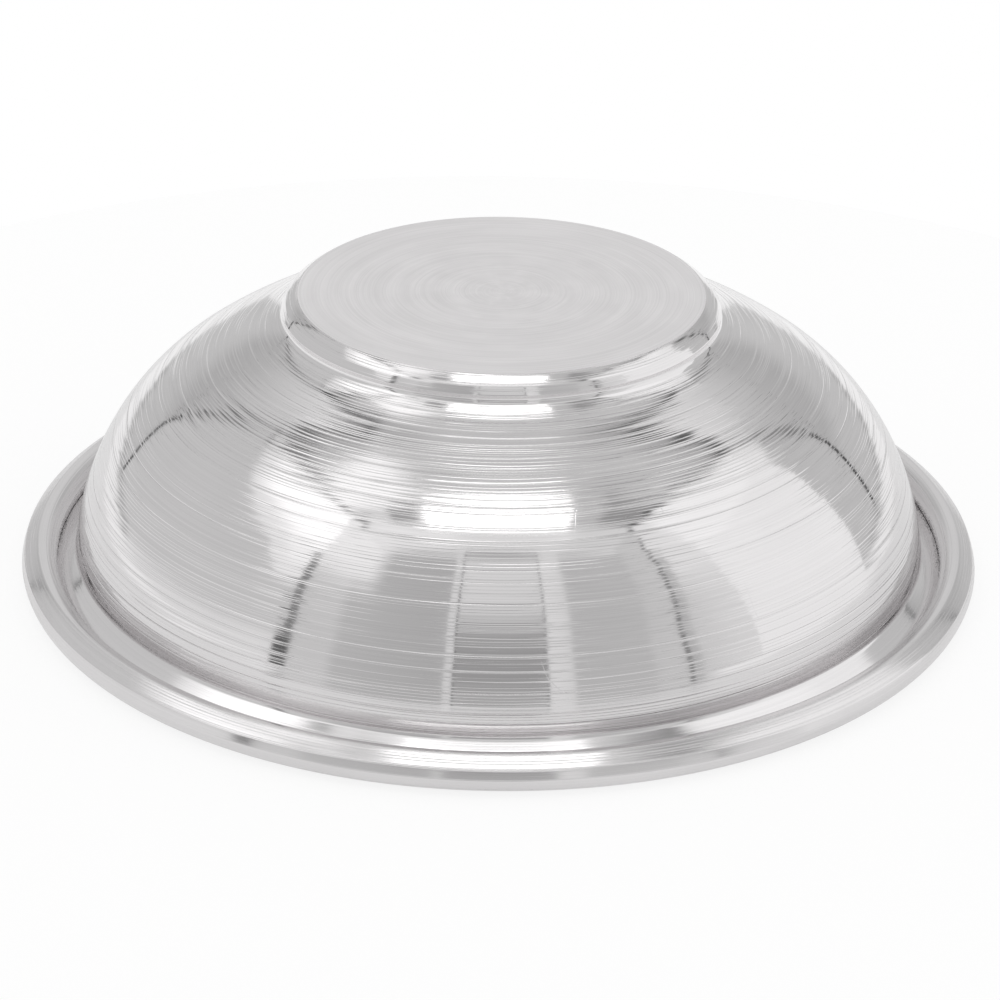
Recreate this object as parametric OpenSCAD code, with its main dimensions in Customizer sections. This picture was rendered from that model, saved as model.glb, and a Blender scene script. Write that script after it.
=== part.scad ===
// Spun steel offering bowl, stood on its rolled rim with its raised foot up.
// Lengths are in millimetres and angles in degrees. +Z runs from the rim to the foot.
// A lean tells how far a face has turned: 0 is upright and 90 is level.

/* [Bowl] */
// Radius out to the nose of the rolled rim
rim_r = 150; // [135:1:156]
// Height from the underside of the rim to the flat of the foot
bowl_h = 90.2; // [88.5:0.1:95]
// Thickness of the sheet that the bowl is spun from
sheet = 1.4; // [0.8:0.1:2]

/* [Wall] */
// How far the rim stands out past the upright part of the wall
rim_overhang = 17; // [14:0.5:20]
// Height at which the lowest bend of the wall would stand upright
upright_z = 3.8; // [0:0.1:5]
// Outside radius of the wall's bend next to the rim
low_bend_r = 68.7; // [60:0.1:72]
// Outside radius of the wall's flatter bend at mid height
mid_bend_r = 83.7; // [72:0.1:86]
// Outside radius of the wall's bend towards the foot
top_bend_r = 68.5; // [60:0.1:70]
// Lean of the wall where the mid bend takes over from the low one
mid_bend_lean = 24; // [16:1:30]
// Lean of the wall where the top bend takes over from the mid one
top_bend_lean = 38; // [34:1:48]
// Outside radius of the wide, gentle bend that reaches the foot
crown_bend_r = 150; // [120:1:200]
// Lean of the wall where that wide bend takes over from the top one
crown_bend_lean = 55; // [52:1:57]

/* [Foot] */
// Radius of the flat face that the bowl stands on in use
foot_flat_r = 62.6; // [57:0.1:64]
// Outside radius of the soft shoulder that falls away from the flat
shoulder_bend_r = 23.5; // [16:0.5:30]
// Lean of the shoulder where it leaves the flat at a crisp edge
shoulder_start_lean = 59; // [56:1:64]
// Lean of the shoulder where the tight corner takes over
shoulder_end_lean = 49; // [42:1:52]
// Outside radius of the tight corner above the foot's side
corner_bend_r = 1.9; // [1.7:0.1:3]
// Step outwards of the foot's short side, for each step down
side_slope = 0.27; // [0.1:0.01:0.35]
// Hollow radius where the side turns out into the wall
root_bend_r = 2; // [1:0.1:4]
// Lean where the tight hollow eases into the wide one
root_end_lean = 53; // [48:1:56]
// Radius of the wide hollow that flares into the wall
flare_bend_r = 52; // [40:0.5:60]

/* [Rim] */
// Radius of the rod that the rim is rolled around
rod_r = 4; // [3:0.1:5]
// Clearance between the rod and the sheet rolled around it
rod_gap = 0.1; // [0.05:0.05:0.2]
// Fall of the flange that carries the rolled rim, for each step outwards
flange_slope = 0.73; // [0.6:0.01:0.9]
// Hollow radius between the wall and the flange
throat_bend_r = 3.2; // [2:0.1:5]
// Clearance between the rolled edge and the flange that it closes on
edge_gap = 0.3; // [0.2:0.05:0.8]

/* [Hidden] */

// Facets in a full turn of the bowl, and in a full circle of its profile
turn_facets = 180;
bend_facets = 120;
// Overrun of the windows that trim each piece of the profile
overrun = 0.5;
// Grid that windows and places are snapped to, so that neighbours meet on one line
snap = 0.001;
shell_colour = [0.80, 0.80, 0.78];
rod_colour = [0.55, 0.56, 0.57];

// Direction out of a face of the given lean, and the lean of a face from its step or its normal
function out(lean) = [cos(lean), sin(lean)];
function lean_of(step) = atan2(step[0], -step[1]);
function lean_out(normal) = atan2(normal[1], normal[0]);
function snapped(point) = [for (c = point) round(c / snap) * snap];

// Steps down the two straight runs, and their leans
side_step = [side_slope, -1];
flange_step = [1, -flange_slope];
side_lean = lean_of(side_step);
flange_lean = lean_of(flange_step);

// Rolled rim: its radii, its centre, and the directions where its sheet starts and stops
roll_in_r = rod_r + rod_gap;
roll_r = roll_in_r + sheet;
roll_c = [rim_r - roll_r, roll_r];
roll_start = 180 + flange_lean;
roll_end = roll_start - acos((roll_in_r - edge_gap) / roll_r);

// Wall: each bend starts where the one before it ends, in the same direction
low_c = [rim_r - rim_overhang - low_bend_r, upright_z];
mid_c = low_c + (low_bend_r - mid_bend_r) * out(mid_bend_lean);
top_c = mid_c + (mid_bend_r - top_bend_r) * out(top_bend_lean);
crown_c = top_c + (top_bend_r - crown_bend_r) * out(crown_bend_lean);

// Throat: a hollow bend that touches both the low bend and the flange
throat_reach = low_bend_r + throat_bend_r;
throat_rise = out(flange_lean) * (roll_c - low_c) - roll_in_r + throat_bend_r;
throat_lean = flange_lean - acos(throat_rise / throat_reach);
throat_c = low_c + throat_reach * out(throat_lean);

// Foot: the chain of bends that hangs from the edge of the flat
shoulder_c = [foot_flat_r, bowl_h] - shoulder_bend_r * out(shoulder_start_lean);
corner_c = shoulder_c + (shoulder_bend_r - corner_bend_r) * out(shoulder_end_lean);
side_top = corner_c + corner_bend_r * out(side_lean);

// The side is as long as it takes for the flare to touch the crown
root_shift = root_bend_r * out(side_lean);
flare_shift = root_shift + (flare_bend_r - root_bend_r) * out(root_end_lean);
side_way = side_step / norm(side_step);
off_crown = side_top + flare_shift - crown_c;
crown_reach = crown_bend_r + flare_bend_r;
drop = -side_way * off_crown;
side_length = drop - sqrt(drop * drop - off_crown * off_crown + crown_reach * crown_reach);
side_end = side_top + side_length * side_way;
root_c = side_end + root_shift;
flare_c = side_end + flare_shift;
flare_lean = lean_out(flare_c - crown_c);

// Sets a piece of the profile at a point, first on the grid and then by the rest
module place(point) {
  translate(snapped(point))
    translate(point - snapped(point))
      children();
}

// Window around the part of a ring between two directions about its centre
module window(centre, in_r, out_r, from, to) {
  near = in_r - overrun;
  far = out_r + overrun;
  peak = far / cos((to - from) / 2);
  polygon([
    snapped(centre + near * out(from)),
    snapped(centre + far * out(from)),
    snapped(centre + peak * out((from + to) / 2)),
    snapped(centre + far * out(to)),
    snapped(centre + near * out(to))
  ]);
}

module ring(centre, in_r, out_r) {
  place(centre)
    difference() {
      circle(r = out_r, $fn = bend_facets);
      circle(r = in_r, $fn = bend_facets);
    }
}

module strip(centre, in_r, out_r, from, to) {
  intersection() {
    ring(centre, in_r, out_r);
    window(centre, in_r, out_r, from, to);
  }
}

// A bend of the sheet whose centre lies inside the bowl
module round_bend(centre, bend_r, from, to) {
  strip(centre, bend_r - sheet, bend_r, from, to);
}

// A bend of the sheet whose centre lies outside the bowl
module hollow_bend(centre, bend_r, from, to) {
  strip(centre, bend_r, bend_r + sheet, 180 + from, 180 + to);
}

// Everything on the inner side of a line that runs through a point along a step
module behind(point, step) {
  inward = [step[1], -step[0]];
  place(point)
    polygon(rim_r * [step, -step, inward - step, inward + step]);
}

// A straight run of sheet between two points of its outside face
module straight(start, end, step) {
  normal = out(lean_of(step));
  intersection() {
    difference() {
      behind(start, step);
      behind(start - sheet * normal, step);
    }
    polygon([
      snapped(end + overrun * normal),
      snapped(start + overrun * normal),
      snapped(start - (sheet + overrun) * normal),
      snapped(end - (sheet + overrun) * normal)
    ]);
  }
}

module foot_profile() {
  translate([0, bowl_h - sheet])
    square([foot_flat_r, sheet]);
  intersection() {
    round_bend(shoulder_c, shoulder_bend_r, shoulder_end_lean, 90);
    square([rim_r, bowl_h]);
  }
  round_bend(corner_c, corner_bend_r, side_lean, shoulder_end_lean);
  straight(side_top, side_end, side_step);
  hollow_bend(root_c, root_bend_r, side_lean, root_end_lean);
  hollow_bend(flare_c, flare_bend_r, root_end_lean, flare_lean);
}

module wall_profile() {
  round_bend(crown_c, crown_bend_r, crown_bend_lean, flare_lean);
  round_bend(top_c, top_bend_r, top_bend_lean, crown_bend_lean);
  round_bend(mid_c, mid_bend_r, mid_bend_lean, top_bend_lean);
  round_bend(low_c, low_bend_r, throat_lean, mid_bend_lean);
}

// The sheet runs down the flange, then curls out, up and back over the rod
module rim_profile() {
  flange_top = throat_c - throat_bend_r * out(flange_lean);
  flange_end = roll_c - roll_in_r * out(flange_lean);
  hollow_bend(throat_c, throat_bend_r, throat_lean, flange_lean);
  straight(flange_top, flange_end, flange_step);
  difference() {
    ring(roll_c, roll_in_r, roll_r);
    window(roll_c, roll_in_r, roll_r, roll_end, roll_start);
  }
}

// One spun sheet: foot, wall, flange and rolled rim
module bowl_shell() {
  color(shell_colour)
    rotate_extrude($fn = turn_facets) {
      foot_profile();
      wall_profile();
      rim_profile();
    }
}

// Closed ring of round rod, captured inside the rolled rim
module rim_rod() {
  color(rod_colour)
    rotate_extrude($fn = turn_facets)
      place(roll_c)
        circle(r = rod_r, $fn = bend_facets);
}

bowl_shell();
rim_rod();
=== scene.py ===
"""Looks of the spun steel offering bowl: metres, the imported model's frame, foot up, -Y to the camera."""

import math

import bpy
import numpy as np
from mathutils import Matrix, Vector


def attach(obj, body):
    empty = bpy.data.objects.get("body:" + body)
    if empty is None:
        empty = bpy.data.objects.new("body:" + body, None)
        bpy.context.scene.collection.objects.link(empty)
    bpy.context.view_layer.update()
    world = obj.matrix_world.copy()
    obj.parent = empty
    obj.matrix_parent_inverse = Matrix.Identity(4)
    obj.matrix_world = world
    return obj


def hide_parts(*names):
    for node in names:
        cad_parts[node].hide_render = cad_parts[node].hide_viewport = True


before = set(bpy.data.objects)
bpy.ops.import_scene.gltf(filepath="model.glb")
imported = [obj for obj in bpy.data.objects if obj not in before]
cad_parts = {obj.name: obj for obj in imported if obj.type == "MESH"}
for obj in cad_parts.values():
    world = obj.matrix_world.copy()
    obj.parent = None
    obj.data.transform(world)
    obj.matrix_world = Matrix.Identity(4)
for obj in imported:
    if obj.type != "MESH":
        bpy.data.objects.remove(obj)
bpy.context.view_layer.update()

# ---------------------------------------------------------------- sizes, in millimetres
MM = 0.001
RIM_R = 150.0
BOWL_H = 90.2
SHEET = 1.4
WALL_R = 133.0            # where the wall would stand upright, at UPRIGHT_Z
UPRIGHT_Z = 3.8
LOW_BEND_R, MID_BEND_R, TOP_BEND_R, CROWN_BEND_R = 68.7, 83.7, 68.5, 150.0
MID_LEAN, TOP_LEAN, CROWN_LEAN = 24.0, 38.0, 55.0
FOOT_FLAT_R = 62.6
SHOULDER_BEND_R, SHOULDER_START, SHOULDER_END = 23.5, 59.0, 49.0
CORNER_BEND_R = 1.9
SIDE_SLOPE = 0.27
ROOT_BEND_R, ROOT_END = 2.0, 53.0
FLARE_BEND_R = 52.0
# The outside face alone is finished finer: the flat's edge is rounded off, and the foot's side
# swells above a shallow turned groove
FLAT_EDGE_R = 0.5
SWELL_LEAN, KNEE_R, GROOVE_LEAN = 33.0, 0.5, -12.0
ROD_R, ROD_GAP = 4.0, 0.1
FLANGE_SLOPE = 0.73
THROAT_BEND_R = 1.8       # tighter than the solid's
EDGE_GAP = 0.04           # the rolled edge all but closes, where the solid keeps a clearance
# The roll is pressed into two nearly flat faces: lean, distance from the rod's centre, and crown of each
PRESSES = ((55.5, 4.78, 52.0), (18.5, 5.18, 60.0))
PRESS_EDGE = 18.0         # how crisp the corners between them are, for each millimetre
PRESS_FACING = 0.5        # a press reaches only where the cosine of the turn away from it is over this

# How finely the sheet is meshed: around, and along its outside and inside
TURN_STEPS = 180
OUTER_STEP = 0.55
INNER_STEP = 1.5
FLAT_STEP = 2.5           # the flats have no ridges, so their rings are wider apart
POLE_R = 0.5              # ring round the axis, where the flat's faces meet in a point
TIGHT_LEAN_STEP = 5.0     # most degrees in one step, in bends too tight for the lengths above
ROLL_STEP = 3.2           # degrees round the outside of the roll
ROLL_INSIDE_STEP = 12.0   # degrees round its inside, which the rod fills
SAME_POINT = 1e-6         # two points closer than this are one

# Spinning ridges left in the wall: (wavelength, height, how many times it swells in a turn)
RIDGES = ((2.9, 0.0065, 2), (4.3, 0.006, 1), (1.9, 0.003, 3), (11.0, 0.016, 1), (27.0, 0.03, 2))
# Along the profile each set of ridges is shifted from the one before and strays slowly from even
RIDGE_SHIFT, STRAY, STRAY_LENGTH = 1.7, 0.8, 2.3
# Round the axis each set is shifted too, and swells by a part about a mean
TURN_SHIFT, RIDGE_MEAN, RIDGE_PART = 2.1, 0.65, 0.35
# How much of the ridges each part of the sheet keeps, and over how many rings one part fades to the next
RIDGE_SHARE = {"wall": 1.0, "flare": 0.6, "throat": 0.3, "flange": 0.4, "roll": 0.25, "inside": 0.6}
RIDGE_FADE = 9

# ---------------------------------------------------------------- camera, as fitted to the photograph
# Metres to the target, degrees above level and round the line of sight, and the lens in millimetres
CAM_DISTANCE = 1.06143
CAM_ELEVATION = 26.0744
CAM_ROLL = 0.7019
CAM_TARGET = (0.00026, 0.0, 0.0190)
CAM_LENS, CAM_SENSOR_WIDTH = 121.106, 36.0

# ---------------------------------------------------------------- colours and the floor
METAL = (0.800, 0.786, 0.790)
PAPER = (0.90, 0.90, 0.90)
# Where dark specks sit beside the rolled edge, as radii in millimetres: old polish, and painted shade of
# the crevice
CREVICE_IN, CREVICE_OUT = 137.7, 139.3

FLOOR_R, FLOOR_STEPS = 0.34, 96
# The paper floor glows a little by itself: the share of it that does, how bright that is to the camera
# and in the metal, and a lift over both
GLOW_SHARE, GLOW_TO_CAMERA, GLOW_IN_METAL, GLOW_LIFT = 0.70, 0.80, 0.57, 0.22


# ---------------------------------------------------------------- profile of the sheet
def out(lean):
    """Direction out of a face that has turned so many degrees from upright, in (radius, height)."""
    a = math.radians(lean)
    return np.array([math.cos(a), math.sin(a)])


def lean_of(step):
    """Lean of the face that runs along a step."""
    return math.degrees(math.atan2(step[0], -step[1]))


class Profile:
    """The tangent bends of the sheet, worked out as the solid's are."""

    def __init__(self):
        self.side_lean = lean_of((SIDE_SLOPE, -1))
        self.flange_lean = lean_of((1, -FLANGE_SLOPE))
        self.rim()
        self.foot()

    def rim(self):
        self.roll_in = ROD_R + ROD_GAP
        self.roll_out = self.roll_in + SHEET
        self.roll_c = np.array([RIM_R - self.roll_out, self.roll_out])
        self.roll_start = 180 + self.flange_lean
        closing = math.degrees(math.acos((self.roll_in - EDGE_GAP) / self.roll_out))
        self.roll_end = self.roll_start - closing
        self.low_c = np.array([WALL_R - LOW_BEND_R, UPRIGHT_Z])
        self.mid_c = self.low_c + (LOW_BEND_R - MID_BEND_R) * out(MID_LEAN)
        self.top_c = self.mid_c + (MID_BEND_R - TOP_BEND_R) * out(TOP_LEAN)
        self.crown_c = self.top_c + (TOP_BEND_R - CROWN_BEND_R) * out(CROWN_LEAN)
        reach = LOW_BEND_R + THROAT_BEND_R
        rise = out(self.flange_lean) @ (self.roll_c - self.low_c) - self.roll_in + THROAT_BEND_R
        self.throat_lean = self.flange_lean - math.degrees(math.acos(rise / reach))
        self.throat_c = self.low_c + reach * out(self.throat_lean)

    def foot(self):
        self.shoulder_c = np.array([FOOT_FLAT_R, BOWL_H]) - SHOULDER_BEND_R * out(SHOULDER_START)
        self.corner_c = self.shoulder_c + (SHOULDER_BEND_R - CORNER_BEND_R) * out(SHOULDER_END)
        side_top = self.corner_c + CORNER_BEND_R * out(self.side_lean)
        root_shift = ROOT_BEND_R * out(self.side_lean)
        flare_shift = root_shift + (FLARE_BEND_R - ROOT_BEND_R) * out(ROOT_END)
        way = np.array([SIDE_SLOPE, -1.0]) / math.hypot(SIDE_SLOPE, 1.0)
        off = side_top + flare_shift - self.crown_c
        drop = -(way @ off)
        side = drop - math.sqrt(drop**2 - off @ off + (CROWN_BEND_R + FLARE_BEND_R)**2)
        side_end = side_top + side * way
        self.root_c = side_end + root_shift
        self.flare_c = side_end + flare_shift
        across = self.flare_c - self.crown_c
        self.flare_lean = math.degrees(math.atan2(across[1], across[0]))

    def flat_edge(self):
        """Centre of the rounding between the flat and the shoulder, and the lean where it ends."""
        down = BOWL_H - FLAT_EDGE_R - self.shoulder_c[1]
        across = math.sqrt((SHOULDER_BEND_R - FLAT_EDGE_R)**2 - down**2)
        return self.shoulder_c + np.array([across, down]), math.degrees(math.atan2(down, across))

    def knee(self):
        """Centre of the bend between the swell of the side and the groove below it."""
        swell, groove = out(SWELL_LEAN), out(GROOVE_LEAN)
        above = swell @ self.corner_c + CORNER_BEND_R - KNEE_R
        below = groove @ self.root_c - ROOT_BEND_R - KNEE_R
        return np.linalg.solve(np.array([swell, groove]), np.array([above, below]))

    def foot_bends(self, finished):
        if not finished:
            return (
                ("shoulder", self.shoulder_c, SHOULDER_BEND_R, 1, SHOULDER_START, SHOULDER_END),
                ("corner", self.corner_c, CORNER_BEND_R, 1, SHOULDER_END, self.side_lean),
                ("root", self.root_c, ROOT_BEND_R, -1, self.side_lean, ROOT_END),
            )
        edge_c, edge_end = self.flat_edge()
        return (
            ("edge", edge_c, FLAT_EDGE_R, 1, 90.0, edge_end),
            ("shoulder", self.shoulder_c, SHOULDER_BEND_R, 1, edge_end, SHOULDER_END),
            ("corner", self.corner_c, CORNER_BEND_R, 1, SHOULDER_END, SWELL_LEAN),
            ("corner", self.knee(), KNEE_R, 1, SWELL_LEAN, GROOVE_LEAN),
            ("root", self.root_c, ROOT_BEND_R, -1, GROOVE_LEAN, ROOT_END),
        )

    def bends(self, finished):
        """(name, centre, radius, side of the centre, first lean, last lean), foot to flange."""
        return self.foot_bends(finished) + (
            ("flare", self.flare_c, FLARE_BEND_R, -1, ROOT_END, self.flare_lean),
            ("wall", self.crown_c, CROWN_BEND_R, 1, self.flare_lean, CROWN_LEAN),
            ("wall", self.top_c, TOP_BEND_R, 1, CROWN_LEAN, TOP_LEAN),
            ("wall", self.mid_c, MID_BEND_R, 1, TOP_LEAN, MID_LEAN),
            ("wall", self.low_c, LOW_BEND_R, 1, MID_LEAN, self.throat_lean),
            ("throat", self.throat_c, THROAT_BEND_R, -1, self.throat_lean, self.flange_lean),
        )


def spread(start, end, step):
    """Evenly spaced values from start to end, no further than step apart."""
    n = max(1, math.ceil(abs(end - start) / step))
    return np.linspace(start, end, n + 1)


def face_line(shape, inset, step):
    """Points and outward normals of one face of the sheet, from the axis to the flange's end."""
    points, normals, zones = [], [], []

    def add(point, normal, zone):
        if points and np.hypot(*(point - points[-1])) < SAME_POINT:
            return
        points.append(point)
        normals.append(normal)
        zones.append(zone)

    def run_to(point, normal, zone, gap):
        start = points[-1]
        for t in spread(0, 1, gap / max(np.hypot(*(point - start)), gap))[1:]:
            add(start + t * (point - start), normal, zone)

    up = out(90)
    finished = inset == 0
    if finished:
        edge_c, _ = shape.flat_edge()
        flat_end = edge_c[0]
    else:
        flat_end = FOOT_FLAT_R - inset * math.tan(math.radians((90 - SHOULDER_START) / 2))
    add(np.array([0.0, BOWL_H - inset]), up, "flat")
    add(np.array([POLE_R, BOWL_H - inset]), up, "flat")
    run_to(np.array([flat_end, BOWL_H - inset]), up, "flat", FLAT_STEP)
    for zone, centre, radius, side, first, last in shape.bends(finished):
        reach = radius * side - inset
        if finished or zone != "shoulder":
            run_to(centre + reach * out(first), out(first), zone, step)
        lean_step = min(TIGHT_LEAN_STEP, math.degrees(step / abs(reach)))
        for lean in spread(first, last, lean_step)[1:]:
            add(centre + reach * out(lean), out(lean), zone)
    normal = out(shape.flange_lean)
    run_to(shape.roll_c - (shape.roll_in + inset) * normal, normal, "flange", step)
    return points, normals, zones


def roll_reach(angles, round_r):
    """Distance of the roll's outside from the rod's centre: round, and pressed nearly flat twice."""
    soft = np.ones(len(angles))
    for lean, reach, bend_r in PRESSES:
        turn = np.radians(angles - lean)
        facing = np.cos(turn) > PRESS_FACING
        drop = (reach * np.tan(turn[facing]))**2 / (2 * bend_r)
        soft[facing] += np.exp(-PRESS_EDGE * ((reach - drop) / np.cos(turn[facing]) - round_r))
    return round_r - np.log(soft) / PRESS_EDGE


def sheet_line():
    """Outline of the sheet's section: its outside, round the roll, and back along its inside."""
    shape = Profile()
    points, normals, zones = face_line(shape, 0.0, OUTER_STEP)
    start, end = shape.roll_start, shape.roll_end
    for a in spread(start - 360, end, ROLL_INSIDE_STEP)[1:]:
        points.append(shape.roll_c + shape.roll_in * out(a))
        normals.append(-out(a))
        zones.append("rolled_inside")
    angles = spread(end, start - 360, ROLL_STEP)
    for a, reach in zip(angles, roll_reach(angles, shape.roll_out)):
        points.append(shape.roll_c + reach * out(a))
        normals.append(out(a))
        zones.append("roll")
    back = face_line(shape, SHEET, INNER_STEP)
    for point, normal, zone in list(zip(*back))[::-1][1:]:
        points.append(point)
        normals.append(-normal)
        zones.append("inside")
    return np.array(points), np.array(normals), zones


def ridge_height(along, around):
    """Height of the spinning ridges at a distance along the profile and an angle around the axis."""
    height = np.zeros((len(along), len(around)))
    for i, (length, size, swells) in enumerate(RIDGES):
        stray = STRAY * np.sin(along / (STRAY_LENGTH * length))
        wave = np.sin(2 * math.pi * along / length + RIDGE_SHIFT * i + stray)
        swell = RIDGE_MEAN + RIDGE_PART * np.sin(swells * around + TURN_SHIFT * i)
        height += size * np.outer(wave, swell)
    return height


def ridge_share(zones):
    """How much of the ridges each ring keeps, with soft steps from part to part."""
    raw = np.array([RIDGE_SHARE.get(zone, 0.0) for zone in zones])
    kernel = np.ones(RIDGE_FADE) / RIDGE_FADE
    return np.minimum(np.convolve(raw, kernel, mode="same"), 1.0)


def spun_faces(rings, share, marks):
    """Faces of rings closed by a point on the axis at each end, with their UVs and material slots."""
    faces, uvs, slots = [], [], []
    top, bottom, last = rings * TURN_STEPS, rings * TURN_STEPS + 1, (rings - 1) * TURN_STEPS
    for j in range(TURN_STEPS):
        k = (j + 1) % TURN_STEPS
        u0, u1 = j / TURN_STEPS, (j + 1) / TURN_STEPS
        faces.append((top, j, k))
        uvs += [((u0 + u1) / 2, share[0]), (u0, share[1]), (u1, share[1])]
        slots.append(marks[1])
        for i in range(rings - 1):
            a, b = i * TURN_STEPS, (i + 1) * TURN_STEPS
            faces.append((a + j, b + j, b + k, a + k))
            uvs += [(u0, share[i + 1]), (u0, share[i + 2]), (u1, share[i + 2]), (u1, share[i + 1])]
            slots.append(marks[i + 2])
        faces.append((last + j, bottom, last + k))
        uvs += [(u0, share[-2]), ((u0 + u1) / 2, share[-1]), (u1, share[-2])]
        slots.append(marks[-1])
    return faces, uvs, slots


def revolve(name, points, normals, zones, slots):
    """Spins the outline about Z. Its ends lie on the axis, and a part that is not in slots has slot 0."""
    along = np.concatenate([[0], np.cumsum(np.hypot(*np.diff(points, axis=0).T))])
    around = np.arange(TURN_STEPS) * 2 * math.pi / TURN_STEPS
    ridges = ridge_height(along, around)
    # Every ridge is sunk into the sheet, so that the spun face stays inside the solid's
    sink = (ridges - ridges.max()) * ridge_share(zones)[:, None]
    r = points[:, 0, None] + normals[:, 0, None] * sink
    z = points[:, 1, None] + normals[:, 1, None] * sink
    body = np.stack([r * np.cos(around), r * np.sin(around), z], axis=-1)[1:-1]
    poles = [[0, 0, points[0, 1]], [0, 0, points[-1, 1]]]
    verts = np.concatenate([body.reshape(-1, 3), poles]) * MM
    faces, uvs, marks = spun_faces(len(body), along / along[-1], [slots.get(zone, 0) for zone in zones])
    mesh = bpy.data.meshes.new(name)
    mesh.from_pydata(verts.tolist(), [], faces)
    mesh.uv_layers.new(name="turned").data.foreach_set("uv", np.array(uvs).ravel())
    mesh.polygons.foreach_set("material_index", np.array(marks))
    mesh.polygons.foreach_set("use_smooth", np.ones(len(faces), dtype=bool))
    mark_sharp_rings(mesh, zones)
    mesh.validate()
    piece = bpy.data.objects.new(name, mesh)
    bpy.context.collection.objects.link(piece)
    return piece, along[-1]


def mark_sharp_rings(mesh, zones):
    """Crisp edges: both corners of the sheet's edge, where the roll closes."""
    inner = [i for i, pair in enumerate(zip(zones, zones[1:])) if pair == ("rolled_inside", "roll")]
    rings = inner + [i + 1 for i in inner]
    ends = np.empty(len(mesh.edges) * 2, dtype=np.int32)
    mesh.edges.foreach_get("vertices", ends)
    ring_of = ends.reshape(-1, 2) // TURN_STEPS + 1
    sharp = (ring_of[:, 0] == ring_of[:, 1]) & np.isin(ring_of[:, 0], rings)
    mesh.edges.foreach_set("use_edge_sharp", sharp)


# ---------------------------------------------------------------- node helpers
class Nodes:
    """Short names for the shader nodes that the materials and the studio are built from."""

    def __init__(self, tree):
        self.tree = tree
        self.tree.nodes.clear()

    def new(self, kind, **settings):
        node = self.tree.nodes.new(kind)
        for key, value in settings.items():
            setattr(node, key, value)
        return node

    def set(self, socket, value):
        if isinstance(value, bpy.types.NodeSocket):
            self.tree.links.new(value, socket)
        else:
            socket.default_value = value

    def math(self, operation, a, b=None, c=None, clamp=False):
        node = self.new("ShaderNodeMath", operation=operation, use_clamp=clamp)
        for socket, value in zip(node.inputs, (a, b, c)):
            if value is not None:
                self.set(socket, value)
        return node.outputs[0]

    def add(self, a, b):
        return self.math("ADD", a, b)

    def sub(self, a, b):
        return self.math("SUBTRACT", a, b)

    def mul(self, a, b):
        return self.math("MULTIPLY", a, b)

    def ramp(self, value, low, high, to_low=0.0, to_high=1.0):
        """Smooth step from to_low at low to to_high at high."""
        node = self.new("ShaderNodeMapRange", interpolation_type="SMOOTHSTEP")
        for socket, item in zip(node.inputs, (value, low, high, to_low, to_high)):
            self.set(socket, item)
        return node.outputs[0]

    def fall(self, value, low, high):
        """Smooth step from 1 at low to 0 at high."""
        return self.ramp(value, low, high, 1.0, 0.0)

    def band(self, value, low, high, soft):
        """1 between low and high, 0 outside, with soft edges."""
        rise = self.ramp(value, low - soft, low + soft)
        return self.mul(rise, self.fall(value, high - soft, high + soft))

    def curve(self, value, points):
        """Reads a line through the (place, height) points, held level past both ends."""
        (first, _), (last, _) = points[0], points[-1]
        low, high = min(y for _, y in points), max(y for _, y in points)
        node = self.new("ShaderNodeFloatCurve")
        line = node.mapping.curves[0]
        places = [((x - first) / (last - first), (y - low) / (high - low)) for x, y in points]
        line.points[0].location, line.points[1].location = places[0], places[-1]
        for place in places[1:-1]:
            line.points.new(*place)
        for point in line.points:
            point.handle_type = "VECTOR"
        node.mapping.update()
        share = self.math("DIVIDE", self.sub(value, first), last - first, clamp=True)
        self.set(node.inputs["Value"], share)
        return self.add(self.mul(node.outputs[0], high - low), low)

    def mix(self, a, b, share):
        return self.add(a, self.mul(self.sub(b, a), share))

    def vector(self, x, y, z):
        node = self.new("ShaderNodeCombineXYZ")
        for socket, value in zip(node.inputs, (x, y, z)):
            self.set(socket, value)
        return node.outputs[0]

    def split(self, vector):
        node = self.new("ShaderNodeSeparateXYZ")
        self.set(node.inputs[0], vector)
        return node.outputs

    def place(self):
        """Place on the piece, in metres."""
        return self.new("ShaderNodeTexCoord").outputs["Object"]

    def from_axis(self, x, y):
        return self.math("SQRT", self.add(self.mul(x, x), self.mul(y, y)))

    def noise(self, vector, scale=1.0, detail=2.0):
        node = self.new("ShaderNodeTexNoise")
        self.set(node.inputs["Vector"], vector)
        self.set(node.inputs["Scale"], scale)
        self.set(node.inputs["Detail"], detail)
        return node.outputs["Fac"]

    def tint(self, colour, share):
        """A colour scaled by a number."""
        node = self.new("ShaderNodeVectorMath", operation="SCALE")
        self.set(node.inputs[0], colour)
        self.set(node.inputs["Scale"], share)
        return node.outputs[0]


# ---------------------------------------------------------------- metal
AXIS_R = 1e-5             # metres, keeps the angle round the axis from dividing by nothing
QUARTER_TURN = 0.25       # of a turn from the tangent, so that highlights stretch across the lathe lines


def turned_coordinates(n, length):
    """Cosine and sine of the angle round the axis, and the distance in millimetres along the profile."""
    x, y, _ = n.split(n.place())
    radius = n.math("MAXIMUM", n.from_axis(x, y), AXIS_R)
    uv = n.new("ShaderNodeUVMap", uv_map="turned").outputs[0]
    along = n.mul(n.split(uv)[1], length)
    return n.math("DIVIDE", x, radius), n.math("DIVIDE", y, radius), along


def lathe_noise(n, turned, swing, pitch, detail=2.0, seed=0.0):
    """Noise drawn out round the axis: swing is how much it changes in a turn, pitch its width in mm."""
    c, s, along = turned
    vector = n.vector(n.mul(c, swing), n.mul(s, swing), n.add(n.math("DIVIDE", along, pitch), seed))
    return n.noise(vector, detail=detail)


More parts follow.
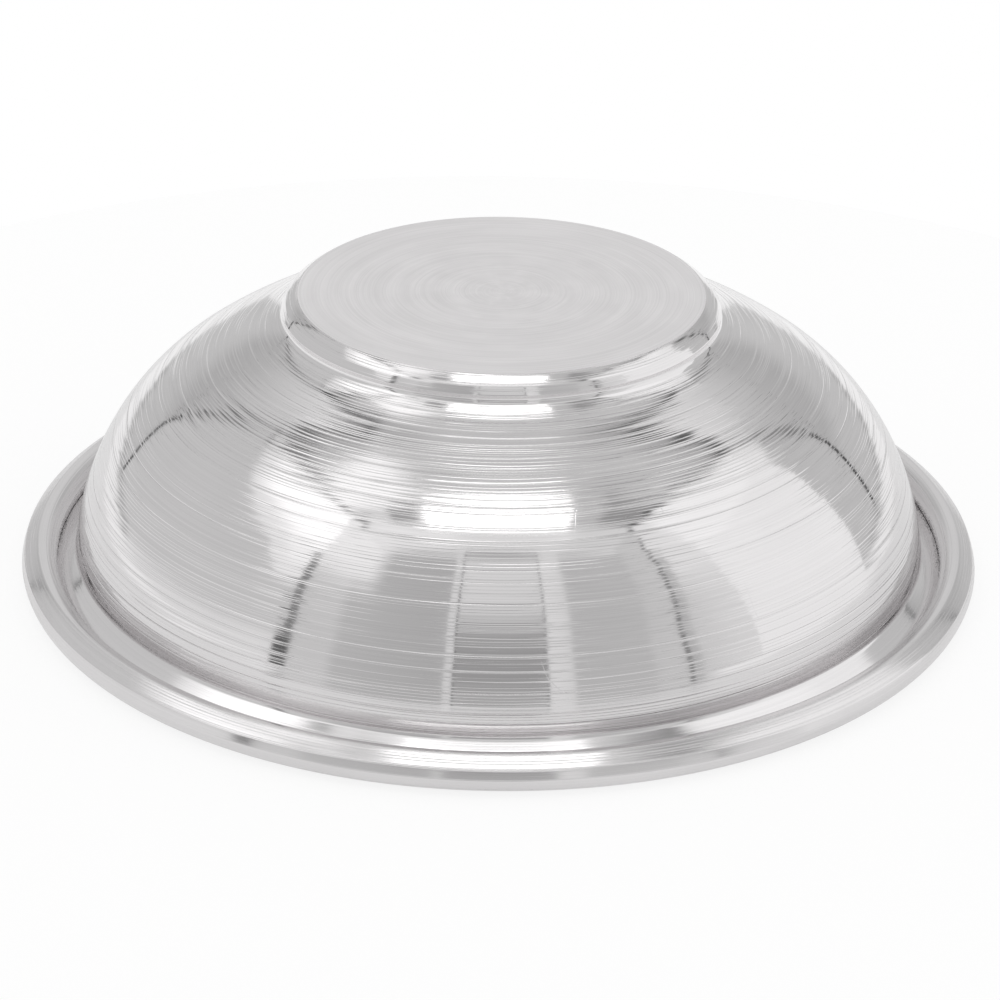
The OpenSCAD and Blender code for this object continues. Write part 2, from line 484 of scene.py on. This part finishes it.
def feed_marks(n, turned, pitch, share, seed):
    """Marks of a tool that steps along the profile by its pitch in mm.

    They are the hollow of each pass, and a groove between passes, a share of the pitch wide, which comes
    and goes round the bowl.
    """
    c, s, along = turned
    # The feed wanders a little, along the profile and round the axis
    wander = lathe_noise(n, turned, swing=0.35, pitch=3.1 * pitch, detail=1.0, seed=seed)
    place = n.add(n.math("DIVIDE", along, pitch), n.mul(wander, 1.8))
    row = n.math("FLOOR", place)
    part = n.sub(place, row)
    # Each pass has a depth of its own, and so does the groove beside it
    depth = n.new("ShaderNodeTexWhiteNoise", noise_dimensions="1D")
    n.set(depth.inputs["W"], n.add(row, seed))
    depth = depth.outputs["Value"]
    middle = n.sub(part, 0.5)
    hollow = n.mul(n.mul(middle, middle), n.ramp(depth, 0.0, 1.0, 1.0, 4.0))
    groove = n.mul(n.ramp(part, 0.0, share / 2), n.fall(part, share / 2, share))
    fade = n.noise(n.vector(n.mul(c, 1.3), n.mul(s, 1.3), n.add(n.mul(row, 3.7), seed)), detail=1.0)
    return hollow, n.mul(n.mul(groove, depth), n.ramp(fade, 0.28, 0.48))


def bumps(n, *layers):
    """Normal of a face under layers of relief, each given by its height and its size in metres."""
    normal = None
    for height, size in layers:
        node = n.new("ShaderNodeBump")
        node.inputs["Strength"].default_value = 1.0
        node.inputs["Distance"].default_value = size
        n.set(node.inputs["Height"], height)
        if normal is not None:
            n.set(node.inputs["Normal"], normal)
        normal = node.outputs[0]
    return normal


def metal_shader(n, colour, roughness, normal, anisotropy):
    shader = n.new("ShaderNodeBsdfPrincipled")
    shader.inputs["Metallic"].default_value = 1.0
    shader.inputs["Anisotropic"].default_value = anisotropy
    shader.inputs["Anisotropic Rotation"].default_value = QUARTER_TURN
    n.set(shader.inputs["Base Color"], colour)
    n.set(shader.inputs["Roughness"], roughness)
    n.set(shader.inputs["Normal"], normal)
    grain = n.new("ShaderNodeTangent", direction_type="RADIAL", axis="Z")
    n.set(shader.inputs["Tangent"], grain.outputs[0])
    output = n.new("ShaderNodeOutputMaterial")
    n.set(output.inputs["Surface"], shader.outputs[0])


def new_material(name):
    material = bpy.data.materials.new(name)
    material.use_nodes = True
    return material, Nodes(material.node_tree)


def polished_metal(length, name="lathe_polished_steel", fine=1.0, dull=0.0):
    """Bright spun wall: fine brushing, coarse tool lines, faint stains and a few hairline scratches.

    fine scales the brushing, and dull adds to the roughness.
    """
    material, n = new_material(name)
    turned = turned_coordinates(n, length)
    fine_grain = lathe_noise(n, turned, swing=0.9, pitch=0.40, detail=1.0)
    mid_grain = lathe_noise(n, turned, swing=0.5, pitch=1.3, detail=1.0, seed=7.0)
    passes, coarse = feed_marks(n, turned, pitch=2.7, share=0.17, seed=13.0)
    strokes, hairs = feed_marks(n, turned, pitch=0.95, share=0.30, seed=57.0)
    place = n.place()
    cloud = n.noise(place, scale=22.0, detail=3.0)
    # A hairline scratch runs where a smooth field crosses its middle value, and only in some patches
    off_middle = n.math("ABSOLUTE", n.sub(n.noise(place, scale=70.0, detail=0.0), 0.5))
    patches = n.ramp(n.noise(place, scale=14.0, detail=1.0), 0.60, 0.66)
    scratch = n.mul(n.fall(off_middle, 0.0, 0.006), patches)
    normal = bumps(
        n,
        (fine_grain, 3.5e-6 * fine),
        (mid_grain, 9.0e-6 * fine),
        (passes, 1.2e-5),
        (strokes, 7.5e-6),
        (coarse, -8.0e-5),
        (hairs, -3.0e-5),
        (scratch, -3.0e-6),
    )
    # Duller in the grooves and under the stains
    roughness = n.ramp(mid_grain, 0.25, 0.75, 0.055 + dull, 0.088 + dull)
    roughness = n.add(roughness, n.mul(coarse, 0.15))
    roughness = n.add(roughness, n.ramp(cloud, 0.35, 0.75, 0.0, 0.025))
    shade = n.ramp(fine_grain, 0.2, 0.8, 0.965, 1.02)
    shade = n.mul(shade, n.ramp(cloud, 0.3, 0.8, 1.01, 0.97))
    metal_shader(n, n.tint(METAL, shade), roughness, normal, anisotropy=0.8)
    return material


def satin_metal(length):
    """The foot's flat: fine concentric turning marks with a soft sheen, on steel painted lighter than the
    wall's.
    """
    material, n = new_material("satin_turned_steel")
    turned = turned_coordinates(n, length)
    fine_grain = lathe_noise(n, turned, swing=0.7, pitch=0.35)
    rings = lathe_noise(n, turned, swing=0.5, pitch=2.2, seed=5.0)
    swirl = lathe_noise(n, turned, swing=2.2, pitch=6.0, seed=17.0)
    _, lines = feed_marks(n, turned, pitch=1.6, share=0.2, seed=23.0)
    normal = bumps(n, (fine_grain, 4.0e-6), (rings, 1.2e-5), (lines, -6.0e-6))
    roughness = n.ramp(rings, 0.25, 0.75, 0.33, 0.42)
    # Painted light: the flat's steel is tinted about a tenth lighter than the wall's, so that the flat
    # shows brighter
    shade = n.ramp(fine_grain, 0.2, 0.8, 1.09, 1.20)
    shade = n.mul(shade, n.ramp(swirl, 0.3, 0.75, 0.97, 1.02))
    metal_shader(n, n.tint(METAL, shade), roughness, normal, anisotropy=0.6)
    return material


def crevice_metal(length):
    """The throat and the flange: polished, with dark specks beside the rolled edge, both old polish and
    painted crevice shade.
    """
    material, n = new_material("rim_crevice_steel")
    turned = turned_coordinates(n, length)
    grain = lathe_noise(n, turned, swing=0.8, pitch=0.5, detail=1.0)
    _, lines = feed_marks(n, turned, pitch=1.2, share=0.25, seed=3.0)
    x, y, _ = n.split(n.place())
    edge = n.band(n.from_axis(x, y), CREVICE_IN * MM, CREVICE_OUT * MM, 0.35 * MM)
    # The specks are under a millimetre wide, and lie in patches round the rim
    c, s, along = turned
    specks = n.noise(n.vector(n.mul(c, 170.0), n.mul(s, 170.0), n.mul(along, 1.6)), detail=3.0)
    patchy = n.ramp(n.noise(n.vector(c, s, 4.0), scale=2.2), 0.42, 0.62)
    # Dark specks under the roll: old polish, and painted shade of the crevice where the roll tucks against
    # the flange
    residue_and_shade = n.mul(n.mul(n.ramp(specks, 0.50, 0.58), edge), patchy)
    normal = bumps(n, (grain, 4.0e-6), (lines, -8.0e-6), (residue_and_shade, 2.0e-5))
    roughness = n.mix(0.12, 0.45, residue_and_shade)
    # The specks darken the steel to half: painted crevice shade as well as old polish
    shade = n.mix(n.ramp(grain, 0.2, 0.8, 0.97, 1.03), 0.5, residue_and_shade)
    metal_shader(n, n.tint(METAL, shade), roughness, normal, anisotropy=0.6)
    return material


def drawn_rod_metal():
    """The rod inside the rim: drawn wire with die lines along it, darker than the sheet."""
    material, n = new_material("drawn_rod_steel")
    place = n.place()
    x, y, z = n.split(place)
    radius = n.from_axis(x, y)
    # Fine across the wire, long along it
    die_lines = n.noise(n.vector(n.mul(radius, 2600.0), n.mul(z, 2600.0), n.mul(x, 4.0)))
    scale = n.noise(place, scale=60.0, detail=4.0)
    normal = bumps(n, (die_lines, 6.0e-6))
    roughness = n.ramp(scale, 0.3, 0.7, 0.32, 0.5)
    shade = n.mul(n.ramp(die_lines, 0.2, 0.8, 0.62, 0.74), n.ramp(scale, 0.3, 0.8, 1.05, 0.85))
    metal_shader(n, n.tint(METAL, shade), roughness, normal, anisotropy=0.4)
    return material


# ---------------------------------------------------------------- studio
def tone(level):
    """Radiance that the metal shows as this 8-bit grey."""
    s = level / 255.0
    linear = s / 12.92 if s <= 0.04045 else ((s + 0.055) / 1.055) ** 2.4
    return linear / METAL[1]


# The light tent as the bowl sees it, drawn from the lists below. Side angles run from -Y to the right and
# heights from level, in degrees. Lines up the walls are (height, side angle), lines along them the
# reverse.
LEFT_SEAM = ((-20, -134), (-2, -134.8), (5, -135.5), (15, -138.8), (21, -140), (30, -138.8),
             (39, -135.5), (45, -133), (52, -128.5))
RIGHT_SEAM = ((-20, 127), (1, 128), (10, 130), (19, 133.8), (26, 136.5), (32, 135.5),
              (40, 132), (46, 128.8), (52, 123))
PANEL_FRONT = ((28, 70.9), (36, 72), (44, 74), (60, 79))
PANEL_BACK = ((-3, 112.5), (5, 113), (15, 113.8), (24, 116), (30, 119), (36, 123), (40, 125))
LEFT_GLOW = ((-140, 46), (-119, 45), (-110, 43.5), (-90, 40.5), (-82, 39), (-76, 34.5),
             (-70, 31), (-64, 31), (-56, 36))
LEFT_WASH = ((-150, -4), (-135, -2), (-120, 0), (-105, 3), (-90, 6), (-80, 8), (-60, 12))
# On the flat roof, places are tangents from straight up: (front to back, left to right)
ROOF_LEFT = ((-0.5, -0.50), (-0.13, -0.50), (0.19, -0.56), (0.35, -0.63), (0.56, -0.69), (0.70, -0.76))
ROOF_RIGHT = ((-0.5, 0.49), (-0.13, 0.49), (0.05, 0.52), (0.19, 0.56), (0.37, 0.67), (0.64, 0.77),
              (0.9, 0.92))
ROOF_BACK = ((-0.76, 0.66), (-0.40, 0.43), (0.0, 0.39), (0.42, 0.45), (0.80, 0.62))
# The front: how it widens with height, its sides, the grey of its upright stripes by side angle, and the
# panel in its middle with its greys by height. Greys are 8-bit, as the metal shows them.
FRONT_SPREAD = ((20, 1.0), (39, 1.09), (48, 1.15), (55, 1.22), (66, 1.45))
FRONT_LEFT, FRONT_RIGHT = -57.0, 50.0
MIDDLE_AT, MIDDLE_HALF = 0.85, 12.05
FRONT_TONES = ((-57, 193), (-45, 193), (-42, 177), (-30, 172), (-18, 168), (-13.9, 168), (-13.5, 204),
               (-11.3, 208), (-11.0, 160), (12.6, 160), (13.1, 217), (16, 212), (19.2, 208),
               (20.4, 178), (40, 180), (42, 190), (50, 194))
MIDDLE_TONES = ((-15, 224), (-10, 212), (-7, 172), (0, 164), (10, 150), (19, 148), (27, 154),
                (31, 168), (34, 186), (38, 198), (44, 205), (55, 208), (60, 200), (62, 184),
                (64.8, 162), (65.3, 126), (66.5, 126), (67.2, 205), (80, 205))
# Behind the bowl, greys by height
BACK_TONES = ((0, 184), (13, 184), (19, 168), (28, 174), (50, 212))
ROOF_FROM = 0.02          # least height of a direction that still meets the roof
SOFTBOX_TONE = 330        # over 255: the light box is brighter than white


def tone_curve(n, value, points):
    """Reads a line through (place, grey) points as a radiance."""
    return n.curve(value, [(place, tone(level)) for place, level in points])


class Tent:
    """The light tent round the bowl, painted by direction: walls, front, floor line and flat roof."""

    def __init__(self, n):
        self.n = n
        self.x, self.y, self.z = n.split(n.new("ShaderNodeTexCoord").outputs["Generated"])
        self.side = n.mul(n.math("ARCTAN2", self.x, n.mul(self.y, -1.0)), 180 / math.pi)
        self.height = n.mul(n.math("ARCSINE", self.z), 180 / math.pi)
        up = n.math("MAXIMUM", self.z, ROOF_FROM)
        self.roof_x = n.math("DIVIDE", self.x, up)
        self.roof_y = n.math("DIVIDE", self.y, up)
        self.value = tone_curve(n, self.height, BACK_TONES)

    def paint(self, level, *masks):
        """Lays a grey, or a radiance from a node, where all the masks meet."""
        mask = masks[0]
        for other in masks[1:]:
            mask = self.n.mul(mask, other)
        target = level if isinstance(level, bpy.types.NodeSocket) else tone(level)
        self.value = self.n.mix(self.value, target, mask)

    def past(self, value, edge, soft):
        """1 where the value is past the edge, 0 before it."""
        return self.n.ramp(self.n.sub(value, edge), -soft, soft)

    def short_of(self, value, edge, soft):
        """1 where the value is short of the edge, 0 past it."""
        return self.n.fall(self.n.sub(value, edge), -soft, soft)

    def near(self, value, edge, half, soft):
        """1 within half of the edge on both sides."""
        return self.n.fall(self.n.math("ABSOLUTE", self.n.sub(value, edge)), half, half + soft)

    def left_wall(self):
        n, side, height = self.n, self.side, self.height
        seam = n.curve(height, LEFT_SEAM)
        wall = n.mul(self.past(side, seam, 0.3), self.short_of(side, FRONT_LEFT, 0.4))
        self.paint(190, wall)
        self.paint(212, wall, self.short_of(height, n.curve(side, LEFT_WASH), 1.6))
        # Light through the cloth, brighter towards the roof
        glow = n.curve(side, LEFT_GLOW)
        self.paint(226, wall, self.past(height, glow, 1.3))
        self.paint(240, wall, self.past(height, n.add(glow, 7.0), 3.0))
        self.paint(264, n.band(side, -121.0, -66.0, 5.0), n.band(height, 47.5, 70.0, 3.0))
        # The dark seam towards the back
        self.paint(52, self.near(side, seam, 0.35, 0.4), n.band(height, -1.0, 27.0, 1.0))
        self.paint(84, self.near(side, seam, 0.6, 0.7), n.band(height, 27.0, 52.0, 2.0))

    def right_wall(self):
        n, side, height = self.n, self.side, self.height
        seam = n.curve(height, RIGHT_SEAM)
        wall = n.mul(self.past(side, FRONT_RIGHT, 0.4), self.short_of(side, seam, 0.3))
        self.paint(n.ramp(side, 51.0, 70.0, tone(196), tone(209)), wall)
        self.paint(218, wall, self.past(height, 38.0, 6.0))
        # The bright panel between two edges, and the grey cloth behind it
        self.paint(229, wall, self.past(side, n.curve(height, PANEL_FRONT), 0.35))
        self.paint(236, wall, self.past(height, 44.0, 1.0), self.past(side, 76.0, 3.0))
        behind = self.past(side, n.curve(height, PANEL_BACK), 0.4)
        self.paint(183, wall, behind, self.short_of(height, 38.5, 1.0))
        # The dark seam towards the back
        self.paint(46, self.near(side, seam, 0.4, 0.4), n.band(height, -1.0, 26.0, 1.0))
        self.paint(78, self.near(side, seam, 0.6, 0.7), n.band(height, 26.0, 54.0, 2.0))

    def front(self):
        n, height = self.n, self.height
        side = n.math("DIVIDE", self.side, n.curve(height, FRONT_SPREAD))
        front = n.mul(self.past(side, FRONT_LEFT, 0.3), self.short_of(side, FRONT_RIGHT, 0.3))
        self.paint(tone_curve(n, side, FRONT_TONES), front)
        self.paint(232, front, self.short_of(side, -37.0, 3.5), self.past(height, 41.0, 6.0))
        self.paint(205, front, self.past(height, 62.0, 3.0), self.past(side, -33.0, 4.0))
        # The darker panel in the middle, with a thin edge
        across = n.math("ABSOLUTE", n.sub(side, MIDDLE_AT))
        self.paint(tone_curve(n, height, MIDDLE_TONES), self.short_of(across, MIDDLE_HALF, 0.2))
        self.paint(112, self.near(across, MIDDLE_HALF, 0.12, 0.3), n.band(height, -6.0, 66.0, 1.0))
        # Where the front meets the left wall, then the right one
        self.paint(126, self.near(side, -57.2, 0.7, 1.2), n.band(height, 12.0, 44.0, 4.0))
        self.paint(92, self.near(side, -57.4, 1.5, 1.6), n.band(height, -3.0, 13.0, 2.0))
        self.paint(176, self.near(side, 51.6, 0.8, 2.5), n.band(height, -14.0, 50.0, 3.0))
        self.paint(124, self.near(side, 50.3, 0.4, 0.6), n.band(height, -18.0, 58.0, 2.0))

    def floor_line(self):
        n, height = self.n, self.height
        across = n.math("ABSOLUTE", self.side)
        # The back cloth that the satin flat shows
        self.paint(198, self.past(across, 160.0, 7.0), n.band(height, 8.0, 50.0, 6.0))
        # Where the back cloth meets the table, then the table round the bowl
        self.paint(165, n.band(across, 118.0, 158.0, 3.0), n.band(height, -1.5, 0.8, 0.7))
        self.paint(229, self.past(across, 57.0, 4.0), self.short_of(height, -2.0, 0.7))
        self.paint(222, self.short_of(across, 57.0, 4.0), self.short_of(height, -13.0, 3.0))

    def roof(self):
        n, x, y = self.n, self.roof_x, self.roof_y
        left, right, back = n.curve(y, ROOF_LEFT), n.curve(y, ROOF_RIGHT), n.curve(x, ROOF_BACK)
        high = self.past(self.z, 0.69, 0.02)
        sides = n.mul(self.past(x, left, 0.006), self.short_of(x, right, 0.006))
        roof = n.mul(n.mul(high, sides), n.mul(self.short_of(y, back, 0.008), self.past(y, -0.44, 0.01)))
        self.paint(206, roof)
        self.paint(188, roof, self.past(y, 0.0, 0.02))
        # Light patches
        glow = self.short_of(n.add(x, n.mul(y, 0.6)), -0.20, 0.05)
        self.paint(252, roof, glow, n.band(y, 0.0, 0.27, 0.05))
        self.paint(226, roof, n.band(x, -0.50, -0.16, 0.05), n.band(y, -0.42, -0.14, 0.04))
        self.paint(222, roof, n.band(x, -0.30, 0.28, 0.05), n.band(y, -0.33, -0.10, 0.06))
        # Dark patches beside the light box
        self.paint(154, roof, n.band(x, -0.36, -0.26, 0.012), n.band(y, -0.14, 0.0, 0.015))
        self.paint(146, roof, n.band(x, -0.53, -0.46, 0.015), n.band(y, -0.17, -0.08, 0.015))
        self.paint(182, roof, n.band(x, 0.24, 0.34, 0.015), n.band(y, -0.20, 0.08, 0.03))
        self.paint(144, roof, n.band(x, 0.33, 0.53, 0.02), n.band(y, -0.17, 0.07, 0.03))
        # Shade towards the back
        shade = n.ramp(n.math("ABSOLUTE", x), 0.10, 0.26)
        self.paint(158, roof, self.past(y, n.sub(back, 0.10), 0.09), shade)
        self.paint(138, roof, n.band(y, 0.36, 0.62, 0.04), self.short_of(x, n.add(left, 0.06), 0.05))
        # Seams: left, right and back
        deep = self.past(y, 0.12, 0.05)
        self.paint(48, high, deep, self.near(x, left, 0.012, 0.012), self.short_of(y, back, 0.01))
        self.paint(120, high, self.near(x, left, 0.008, 0.012), n.band(y, -0.20, 0.12, 0.03))
        self.paint(62, high, self.past(y, -0.20, 0.02), self.near(x, right, 0.008, 0.012),
                   self.short_of(y, back, 0.1))
        self.paint(36, high, self.near(y, back, 0.018, 0.025), n.band(x, -0.76, -0.34, 0.03))
        self.paint(76, high, self.near(y, back, 0.018, 0.03), n.band(x, 0.20, 0.78, 0.05))

    def softbox(self):
        wide = self.n.band(self.roof_x, -0.235, 0.225, 0.008)
        deep = self.n.band(self.roof_y, -0.193, 0.004, 0.008)
        self.paint(SOFTBOX_TONE, wide, deep, self.past(self.z, 0.6, 0.05))


def build_world():
    world = bpy.data.worlds.new("light_tent")
    bpy.context.scene.world = world
    world.use_nodes = True
    n = Nodes(world.node_tree)
    tent = Tent(n)
    tent.left_wall()
    tent.right_wall()
    tent.front()
    tent.floor_line()
    tent.roof()
    tent.softbox()
    # The camera itself sees plain white
    seen = n.new("ShaderNodeLightPath").outputs["Is Camera Ray"]
    level = n.mix(tent.value, 1.0, seen)
    background = n.new("ShaderNodeBackground")
    n.set(background.inputs["Color"], n.vector(level, level, level))
    output = n.new("ShaderNodeOutputWorld")
    n.set(output.inputs["Surface"], background.outputs[0])


def floor_material():
    """White paper: mostly its own white to the camera and in the metal, with a share of real shade."""
    material, n = new_material("white_paper")
    rays = n.new("ShaderNodeLightPath").outputs
    seen = n.math("MAXIMUM", rays["Is Camera Ray"], rays["Is Glossy Ray"])
    glow = n.new("ShaderNodeEmission")
    strength = n.mix(n.mul(seen, GLOW_TO_CAMERA), GLOW_IN_METAL, rays["Is Glossy Ray"])
    n.set(glow.inputs["Strength"], strength)
    paper = n.new("ShaderNodeBsdfDiffuse")
    fibres = n.ramp(n.noise(n.place(), scale=900.0), 0.3, 0.7, 0.98, 1.0)
    n.set(paper.inputs["Color"], n.tint(PAPER, fibres))
    both = n.new("ShaderNodeMixShader")
    n.set(both.inputs[0], n.mul(seen, GLOW_SHARE))
    n.set(both.inputs[1], paper.outputs[0])
    n.set(both.inputs[2], glow.outputs[0])
    lift = n.new("ShaderNodeEmission")
    n.set(lift.inputs["Strength"], n.mul(seen, GLOW_LIFT))
    lifted = n.new("ShaderNodeAddShader")
    n.set(lifted.inputs[0], both.outputs[0])
    n.set(lifted.inputs[1], lift.outputs[0])
    output = n.new("ShaderNodeOutputMaterial")
    n.set(output.inputs["Surface"], lifted.outputs[0])
    return material


def build_floor():
    mesh = bpy.data.meshes.new("floor")
    turns = [2 * math.pi * i / FLOOR_STEPS for i in range(FLOOR_STEPS)]
    ring = [(FLOOR_R * math.cos(a), FLOOR_R * math.sin(a), 0.0) for a in turns]
    mesh.from_pydata(ring, [], [tuple(range(FLOOR_STEPS))])
    mesh.materials.append(floor_material())
    floor = bpy.data.objects.new("floor", mesh)
    bpy.context.collection.objects.link(floor)


def build_camera():
    e, roll = math.radians(CAM_ELEVATION), math.radians(CAM_ROLL)
    back = Vector((0.0, -math.cos(e), math.sin(e)))
    level, rise = Vector((1.0, 0.0, 0.0)), Vector((0.0, math.sin(e), math.cos(e)))
    right = math.cos(roll) * level + math.sin(roll) * rise
    up = -math.sin(roll) * level + math.cos(roll) * rise
    data = bpy.data.cameras.new("camera")
    data.lens, data.sensor_width = CAM_LENS, CAM_SENSOR_WIDTH
    camera = bpy.data.objects.new("camera", data)
    place = Matrix((right, up, back)).transposed().to_4x4()
    place.translation = Vector(CAM_TARGET) + CAM_DISTANCE * back
    camera.matrix_world = place
    bpy.context.collection.objects.link(camera)
    bpy.context.scene.camera = camera


# ---------------------------------------------------------------- pieces
def build_shell():
    points, normals, zones = sheet_line()
    slots = {"flat": 1, "flange": 2, "throat": 2, "rolled_inside": 3, "inside": 3, "roll": 4}
    shell, length = revolve("bowl_sheet", points, normals, zones, slots)
    shell.data.materials.append(polished_metal(length))
    shell.data.materials.append(satin_metal(length))
    shell.data.materials.append(crevice_metal(length))
    shell.data.materials.append(polished_metal(length, "inside_spun_steel", fine=1.4, dull=0.08))
    shell.data.materials.append(polished_metal(length, "rolled_rim_steel", fine=1.2, dull=0.09))
    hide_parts("bowl_shell")
    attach(shell, "root")


def finish_rod():
    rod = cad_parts["rim_rod"]
    rod.data.materials.clear()
    rod.data.materials.append(drawn_rod_metal())


build_camera()
build_world()
build_floor()
build_shell()
finish_rod()
bpy.context.scene.view_settings.view_transform = "Standard"
